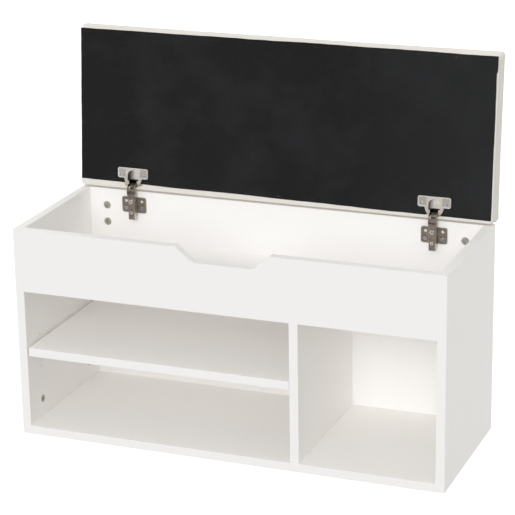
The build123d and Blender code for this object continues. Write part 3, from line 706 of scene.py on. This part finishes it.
def swell(obj):
    """Puffs the padding up with pressure, with its underside held by the board."""
    held = obj.vertex_groups.new(name="held")
    for vertex in obj.data.vertices:
        grip = 1 - smooth((vertex.co.z - HELD_BELOW) / HELD_FADE)
        held.add([vertex.index], grip, "REPLACE")
    start = [vertex.co.copy() for vertex in obj.data.vertices]
    cloth = obj.modifiers.new("swell", "CLOTH")
    settings = cloth.settings
    settings.quality = 5
    settings.use_pressure = True
    settings.uniform_pressure_force = SWELL_PRESSURE
    settings.effector_weights.gravity = 0
    settings.vertex_group_mass = "held"
    for step in range(1, SWELL_FRAMES + 1):
        bpy.context.scene.frame_set(step)
    apply_modifiers(obj)
    bpy.context.scene.frame_set(1)
    for vertex, before in zip(obj.data.vertices, start):
        move = vertex.co - before
        move.x = min(max(move.x, -SIDE_CAP), SIDE_CAP)
        move.y = min(max(move.y, -SIDE_CAP), SIDE_CAP)
        move.z = min(max(move.z, -SIDE_CAP), SWELL_CAP)
        vertex.co = before + move
    obj.vertex_groups.clear()


def bell(distance, width):
    """1 at no distance, falling away on both sides over the width."""
    return exp(-((distance / width) ** 2))


def fold_depth(x, s, n):
    """Mitred folds where the cover is wrapped round the lid's corners, and the end pleats."""
    from_end = LID_LENGTH / 2 - abs(x)
    from_edge = min(s, LID_DEPTH - s)
    mitre = bell(from_end - from_edge, MITRE_WIDTH) * (1 - smooth(n / MITRE_TOP))
    pleat = bell(from_edge - PLEAT_SETBACK - PLEAT_SLANT * n, PLEAT_WIDTH)
    on_end = smooth(1 - from_end / END_REACH) * (1 - smooth((n - PLEAT_TOP) / PLEAT_FADE))
    return FOLD * (mitre * smooth(1 - from_end / MITRE_LENGTH) + pleat * on_end)


def pucker(obj):
    """Radial puckers and folds at the corners, and slow waves in the wrapped rim."""
    for vertex in obj.data.vertices:
        x, s, n = vertex.co
        for corner_x in (-LID_LENGTH / 2, LID_LENGTH / 2):
            for corner_s in (0, LID_DEPTH):
                dx, ds = x - corner_x, s - corner_s
                fade = bell(hypot(dx, ds), PUCKER_REACH)
                fade *= smooth((n - PUCKER_START) / PUCKER_RISE)
                angle = atan(ds / dx) if abs(dx) > 1e-6 else pi / 2
                vertex.co.z += PUCKER * fade * sin(PUCKER_COUNT * angle + corner_x * 40)
        rim = smooth((n - RIM_START) / RIM_RISE)
        wave = noise.noise(Vector((x * 22, s * 22, n * 60)))
        vertex.co.x += END_WAVE * wave * rim * (2 * x / LID_LENGTH) ** 7
        vertex.co.y += EDGE_WAVE * wave * rim * (2 * s / LID_DEPTH - 1) ** 5
        vertex.co.z += FACE_WAVE * noise.noise(Vector((x * 9, s * 9, 3.0))) * rim
        vertex.co.x -= (1 if x > 0 else -1) * fold_depth(x, s, n)


def to_row_frame(obj):
    """Moves a mesh drawn in lid coordinates to its place, and turns its faces outwards."""
    for vertex in obj.data.vertices:
        vertex.co = lid_place(*vertex.co)
    obj.data.flip_normals()


def make_cushion():
    """The padded seat: foam and its cover as one closed form."""
    obj = bpy.data.objects.new("seat_cushion", cushion_blank())
    bpy.context.scene.collection.objects.link(obj)
    shape_blank(obj.data)
    swell(obj)
    pucker(obj)
    to_row_frame(obj)
    subdivide = obj.modifiers.new("smooth", "SUBSURF")
    subdivide.levels = 1
    subdivide.render_levels = 1
    apply_modifiers(obj)
    for polygon in obj.data.polygons:
        polygon.use_smooth = True
    dress(obj, MATERIALS["lid_upholstery"])
    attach(obj, "lid")
    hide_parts("lid_cover", "lid_foam")


# ---- dust cloth ----

DUST_STEP = 2.5 * MM

# Its hand-cut outline: how far the edges wander, and the step in the right edge. The wander
# dies out over a 12th of the length and an 8th of the depth.
DUST_WAVE = 0.9 * MM
REAR_SLANT = 0.0095
EDGE_STEP = 1.8 * MM
EDGE_STEP_LENGTH = 27 * MM
EDGE_STEP_RISE = 6 * MM
END_FADE = 12
EDGE_FADE = 8
HEM_GAP = 0.3 * MM

# How it stands off the board, away from the cups and near its pulled corner.
TENSION_FOLDS = 0.5 * MM
CORNER_FOLDS = 0.5 * MM
FLAT_ROUND_CUP = 38 * MM
CUP_FADE = 40 * MM
CORNER_REACH = 90 * MM


def dust_edge(t, seed):
    """How far an edge of the cloth wanders at a distance along it; each edge has a seed."""
    slow = noise.noise(Vector((t * 7, seed, 0)))
    quick = noise.noise(Vector((t * 40, seed, 5)))
    return DUST_WAVE * (1.5 * slow + 0.5 * quick)


def dust_height(x, s):
    """How far the cloth stands off the board: faint folds that run to the staples."""
    cups = min(hypot(x - cup, s - CUP_ROW) for cup in CUP_CENTRES)
    clear = smooth((cups - FLAT_ROUND_CUP) / CUP_FADE)
    pull = bell(hypot(LID_LENGTH / 2 - x, LID_DEPTH - s), CORNER_REACH)
    diagonal = sin((x * 0.55 + s) * 260 + 2 * noise.noise(Vector((x * 12, s * 12, 1))))
    slack = noise.noise(Vector((x * 6, s * 14, 2)))
    slack += 0.5 * noise.noise(Vector((x * 25, s * 40, 4)))
    slow = TENSION_FOLDS * (slack + 0.8) * 0.6
    return clear * (slow + CORNER_FOLDS * pull * (diagonal + 1) * 0.5)


def make_dust_cloth():
    """The non-woven cloth under the lid: wavy hand-cut edges and holes for the cups."""
    length, reach = LID_LENGTH - 2 * DUST_INSET, LID_DEPTH - DUST_REAR - DUST_INSET
    columns, rows = round(length / DUST_STEP), round(reach / DUST_STEP)
    points = []
    for row in range(rows + 1):
        for column in range(columns + 1):
            u, v = column / columns, row / rows
            x, s = (u - 0.5) * length, DUST_REAR + v * reach
            x += dust_edge(s, 11) * smooth(1 - u * END_FADE)
            step_in = EDGE_STEP * smooth((LID_DEPTH - EDGE_STEP_LENGTH - s) / EDGE_STEP_RISE)
            x -= (dust_edge(s, 23) + step_in) * smooth(1 - (1 - u) * END_FADE)
            rear = (dust_edge(x, 37) - REAR_SLANT * x) * smooth(1 - v * EDGE_FADE)
            front = dust_edge(x, 41) * smooth(1 - (1 - v) * EDGE_FADE)
            s += rear - front
            points.append(Vector((x, s, 0)))
    faces = []
    for row in range(rows):
        for column in range(columns):
            a = row * (columns + 1) + column
            quad = (a, a + 1, a + columns + 2, a + columns + 1)
            middle = sum((points[i] for i in quad), Vector()) / 4
            if all(hypot(middle.x - c, middle.y - CUP_ROW) > CUP_RADIUS for c in CUP_CENTRES):
                faces.append(quad)
    used = {}
    for quad in faces:
        for i in quad:
            used[i] = used.get(i, 0) + 1
    for i in used:
        for c in CUP_CENTRES:
            away = Vector((points[i].x - c, points[i].y - CUP_ROW))
            if used[i] < 4 and away.length < CUP_RADIUS + 1.5 * DUST_STEP:
                away.length = CUP_RADIUS + HEM_GAP
                points[i].x, points[i].y = c + away.x, CUP_ROW + away.y
    order = {old: new for new, old in enumerate(sorted(used))}
    placed = [
        lid_place(points[i].x, points[i].y, -dust_height(points[i].x, points[i].y))
        for i in sorted(used)
    ]
    cloth = new_piece(
        "lid_dust_cloth",
        placed,
        [tuple(order[i] for i in quad) for quad in faces],
        MATERIALS["black_nonwoven"],
    )
    thick = cloth.modifiers.new("thickness", "SOLIDIFY")
    thick.thickness = DUST_THICKNESS / 2
    thick.offset = 0
    apply_modifiers(cloth)
    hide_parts("lid_dust_cover")


make_cushion()
make_dust_cloth()


# ---- stage, light and camera ----


STAGE_CENTRE = (cad_low + cad_high) / 2
FLOOR_SPANS = 30
FLOOR_GAP = 0.05 * MM
KEY_DISTANCE = 3


def make_floor():
    """A plane just under the bench."""
    size = FLOOR_SPANS * (cad_high.x - cad_low.x)
    mesh = bpy.data.meshes.new("floor")
    corners = [(-size, -size), (size, -size), (size, size), (-size, size)]
    mesh.from_pydata([(x, y, cad_low.z - FLOOR_GAP) for x, y in corners], [], [(0, 1, 2, 3)])
    floor = bpy.data.objects.new("floor", mesh)
    bpy.context.scene.collection.objects.link(floor)
    floor.data.materials.append(floor_white())
    # Its white would flood the undersides with light, which the photo doesn't show.
    floor.visible_diffuse = False


def make_key(azimuth, elevation, softness, strength, colour):
    """A soft light from the front, like a large softbox far away."""
    data = bpy.data.lights.new("key", "SUN")
    data.angle = softness
    data.energy = strength
    data.color = colour
    key = bpy.data.objects.new("key", data)
    bpy.context.scene.collection.objects.link(key)
    back = Vector((
        sin(azimuth) * cos(elevation),
        -cos(azimuth) * cos(elevation),
        sin(elevation),
    ))
    key.location = STAGE_CENTRE + KEY_DISTANCE * back
    key.rotation_mode = "QUATERNION"
    key.rotation_quaternion = (-back).to_track_quat("-Z", "Y")


def make_world(towards, near, far):
    """A white studio, brightest towards one side and dimmest opposite it."""
    world = bpy.data.worlds.new("studio")
    world.use_nodes = True
    tree = world.node_tree
    place = tree.nodes.new("ShaderNodeTexCoord")
    facing = tree.nodes.new("ShaderNodeVectorMath")
    facing.operation = "DOT_PRODUCT"
    facing.inputs[1].default_value = towards.normalized()
    level = tree.nodes.new("ShaderNodeMapRange")
    level.inputs["From Min"].default_value = -1
    level.inputs["To Min"].default_value = far
    level.inputs["To Max"].default_value = near
    tree.links.new(place.outputs["Generated"], facing.inputs[0])
    tree.links.new(facing.outputs["Value"], level.inputs["Value"])
    tree.links.new(level.outputs[0], tree.nodes["Background"].inputs["Strength"])
    tree.nodes["Background"].inputs["Color"].default_value = (1, 0.99, 0.972, 1)
    bpy.context.scene.world = world


make_floor()
make_world(towards=Vector((0.0, 0.35, 0.8)), near=0.97, far=0.34)
make_key(
    azimuth=radians(6),
    elevation=radians(21),
    softness=radians(30),
    strength=1.22,
    colour=(0.96, 0.965, 1.0),
)

# White walls face each other inside the bench, so light has to bounce many times.
bpy.context.scene.cycles.max_bounces = 16
bpy.context.scene.cycles.diffuse_bounces = 14

CAMERA_AZIMUTH = radians(21.62)
CAMERA_ELEVATION = radians(18.40)
CAMERA_ROLL = radians(-0.94)
CAMERA_LENS = 145.88
CAMERA_SENSOR = 36
CAMERA_DISTANCE = 3.7229
CAMERA_SIDE = -0.0005
CAMERA_RISE = -0.0186


def make_camera():
    """Looks back, left and down at the bench, a little rolled."""
    forward = Vector((
        -sin(CAMERA_AZIMUTH) * cos(CAMERA_ELEVATION),
        cos(CAMERA_AZIMUTH) * cos(CAMERA_ELEVATION),
        -sin(CAMERA_ELEVATION),
    ))
    level = Vector((cos(CAMERA_AZIMUTH), sin(CAMERA_AZIMUTH), 0))
    upright = level.cross(forward)
    right = level * cos(CAMERA_ROLL) + upright * sin(CAMERA_ROLL)
    up = right.cross(forward)
    data = bpy.data.cameras.new("camera")
    data.lens = CAMERA_LENS
    data.sensor_width = CAMERA_SENSOR
    camera = bpy.data.objects.new("camera", data)
    bpy.context.scene.collection.objects.link(camera)
    turn = Matrix((right, up, -forward)).transposed().to_4x4()
    place = STAGE_CENTRE - forward * CAMERA_DISTANCE + right * CAMERA_SIDE + up * CAMERA_RISE
    camera.matrix_world = Matrix.Translation(place) @ turn
    bpy.context.scene.camera = camera


make_camera()
bpy.context.scene.view_settings.view_transform = "Standard"
